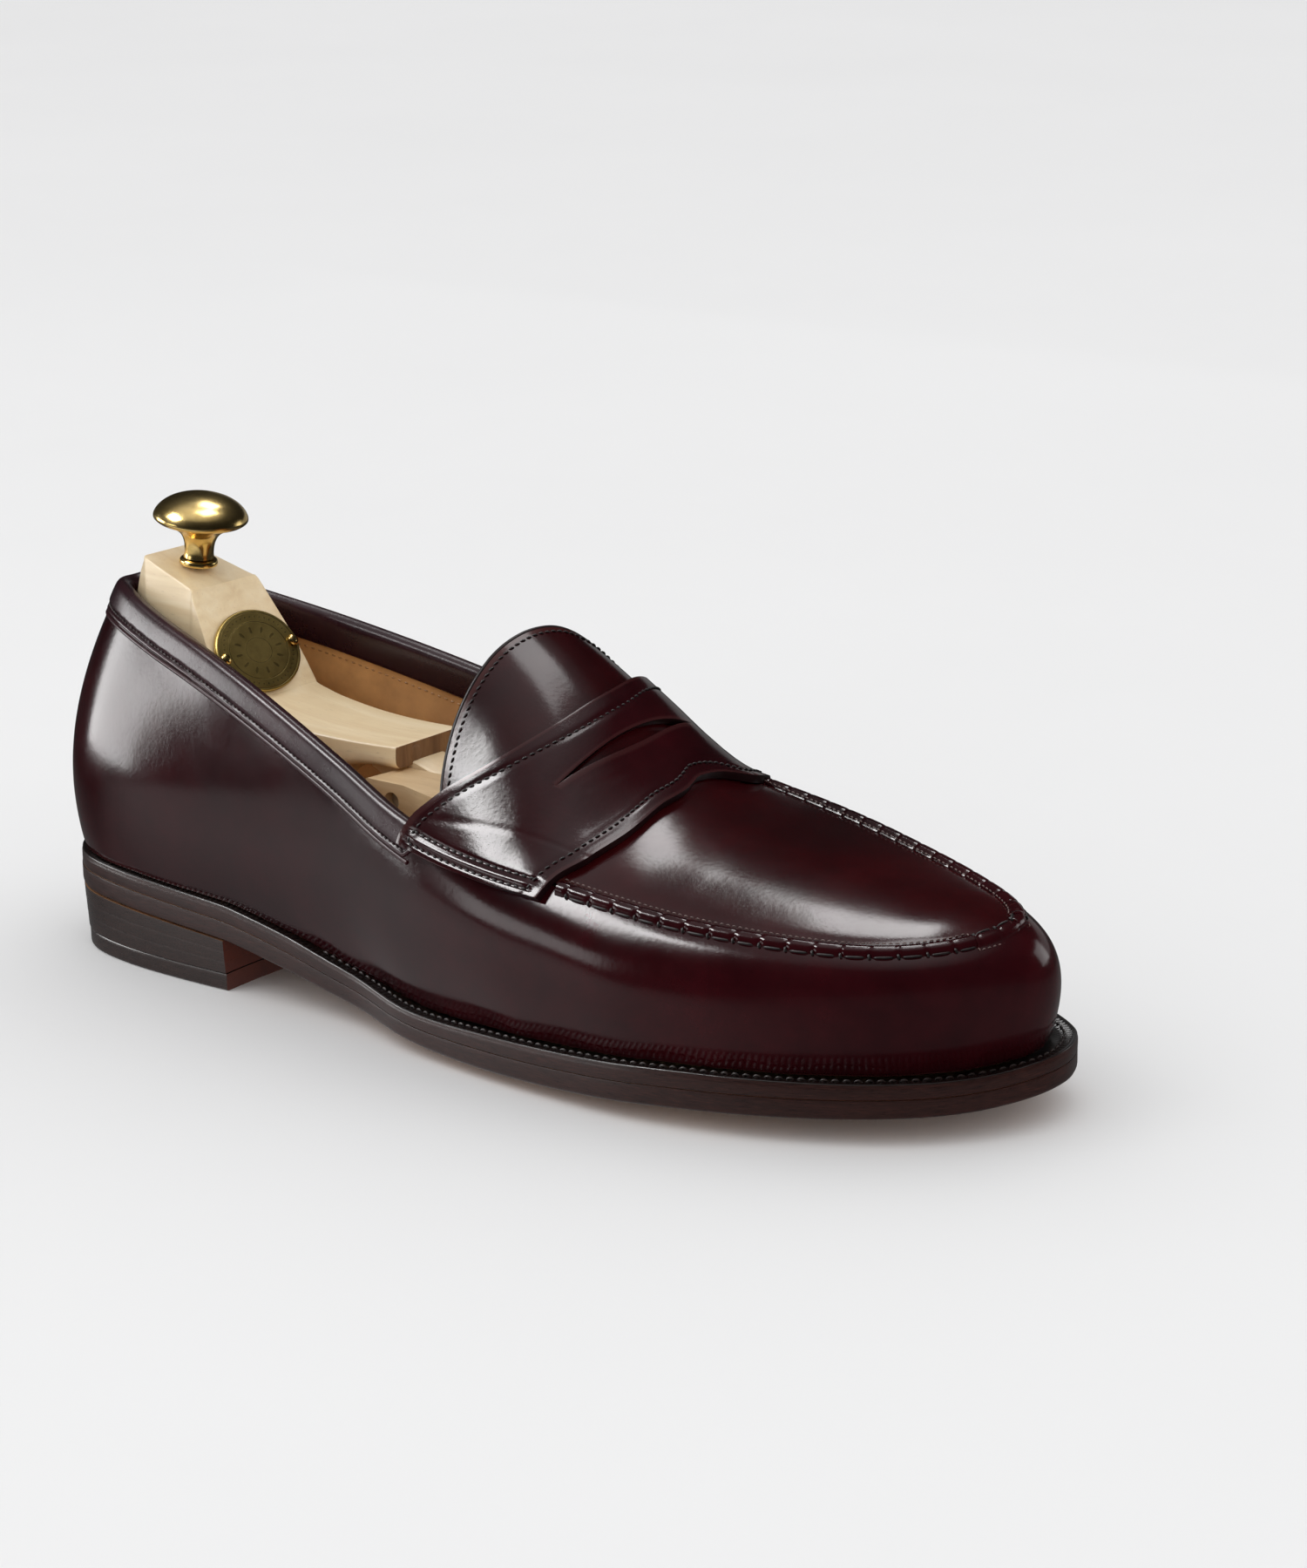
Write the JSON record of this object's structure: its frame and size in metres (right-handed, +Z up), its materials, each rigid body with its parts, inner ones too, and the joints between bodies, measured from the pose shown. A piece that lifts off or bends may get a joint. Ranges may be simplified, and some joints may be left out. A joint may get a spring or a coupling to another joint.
{
  "type": "penny loafer",
  "caption": "Men's slip-on penny loafer for the right foot with a saddle strap, raised apron seam, welted leather sole and stacked heel, holding a hinged wooden shoe tree with a turned knob.",
  "frame": {"origin": "centre of the bounding box in plan, on the ground under the heel and ball", "axes": "+X from the heel to the toe, +Y towards the inner (medial) side, +Z up"},
  "size_m": [0.2962, 0.0948, 0.1202],
  "materials": {
    "upper_leather": "polished burgundy calf",
    "binding_leather": "plum-dark folded calf edge",
    "lining_leather": "matt tan leather",
    "welt_leather": "dark brown-black waxed edge",
    "sole_leather": "mahogany stained edge, waxed",
    "heel_leather": "dark brown stacked leather, waxed",
    "top_piece": "dark waxed leather top piece",
    "insole_leather": "matt",
    "cork": "granular cork filler",
    "stiffener": "matt leatherboard",
    "shank_steel": "plain spring steel",
    "tree_steel": "plain steel",
    "thread": "waxed dark thread",
    "tree_wood": "fine-sanded pale lime wood",
    "brass": "plain",
    "polished_brass": "polished"
  },
  "bodies": {
    "shoe": {"heel_top_piece": "top_piece", "heel_nail_1": "brass", "heel_nail_2": "brass", "heel_nail_3": "brass", "heel_nail_4": "brass", "heel_lift_1": "heel_leather", "heel_lift_2": "heel_leather", "heel_lift_3": "heel_leather", "outsole": "sole_leather", "welt": "welt_leather", "heel_rand": "welt_leather", "cork_filler": "cork", "shank": "shank_steel", "insole": "insole_leather", "sock_lining": "lining_leather", "quarter_lateral": "upper_leather", "quarter_medial": "upper_leather", "vamp": "upper_leather", "heel_counter": "stiffener", "toe_puff": "stiffener", "lining_lateral": "lining_leather", "lining_medial": "lining_leather", "lining_vamp": "lining_leather", "topline_binding": "binding_leather", "apron": "upper_leather", "apron_lining": "lining_leather", "apron_seam_cord": "thread", "saddle_strap": "upper_leather", "tree_forepart": "tree_wood", "tree_hinge_pin": "tree_steel"},
    "tree_heel": {"tree_heel_block": "tree_wood", "tree_knob_ferrule": "polished_brass", "tree_knob": "polished_brass", "tree_knob_screw": "tree_steel", "tree_medallion": "polished_brass", "tree_medallion_nail_1": "polished_brass", "tree_medallion_nail_2": "polished_brass"}
  },
  "joints": [
    {"name": "tree_hinge", "type": "hinge", "parent": "shoe", "child": "tree_heel", "pos_m": [-0.02887, 0.00105, 0.055], "axis": [0, 1, 0], "range_deg": [0, 55]}
  ]
}
